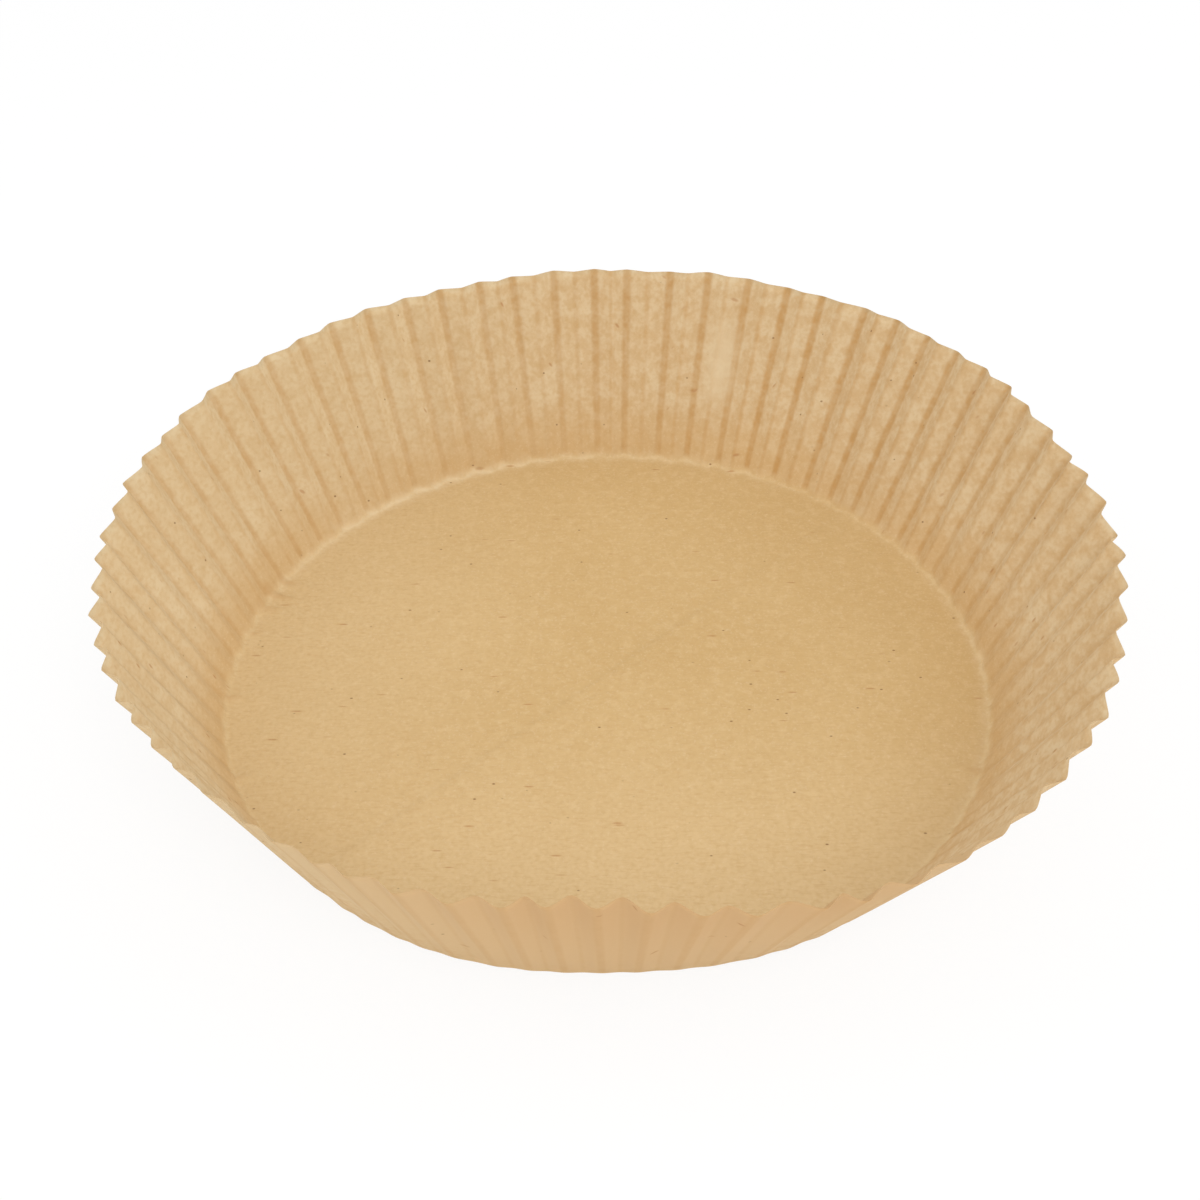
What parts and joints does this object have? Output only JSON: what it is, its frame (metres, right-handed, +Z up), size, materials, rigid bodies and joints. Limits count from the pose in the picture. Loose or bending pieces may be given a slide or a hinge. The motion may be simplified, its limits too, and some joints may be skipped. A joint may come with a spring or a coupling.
{
  "type": "air fryer paper liner",
  "caption": "Round fluted paper cup that lines an air fryer basket: flat base, sharp crease and a flaring zig-zag wall with an open rim.",
  "frame": {"origin": "middle of the base's underside", "axes": "+Z up out of the open cup, +X to the right and +Y to the back of the pictured view"},
  "size_m": [0.1997, 0.2004, 0.0421],
  "materials": {
    "paper": "uncoated unbleached greaseproof kraft, matt"
  },
  "bodies": {
    "root": {"liner": "paper"}
  },
  "joints": []
}
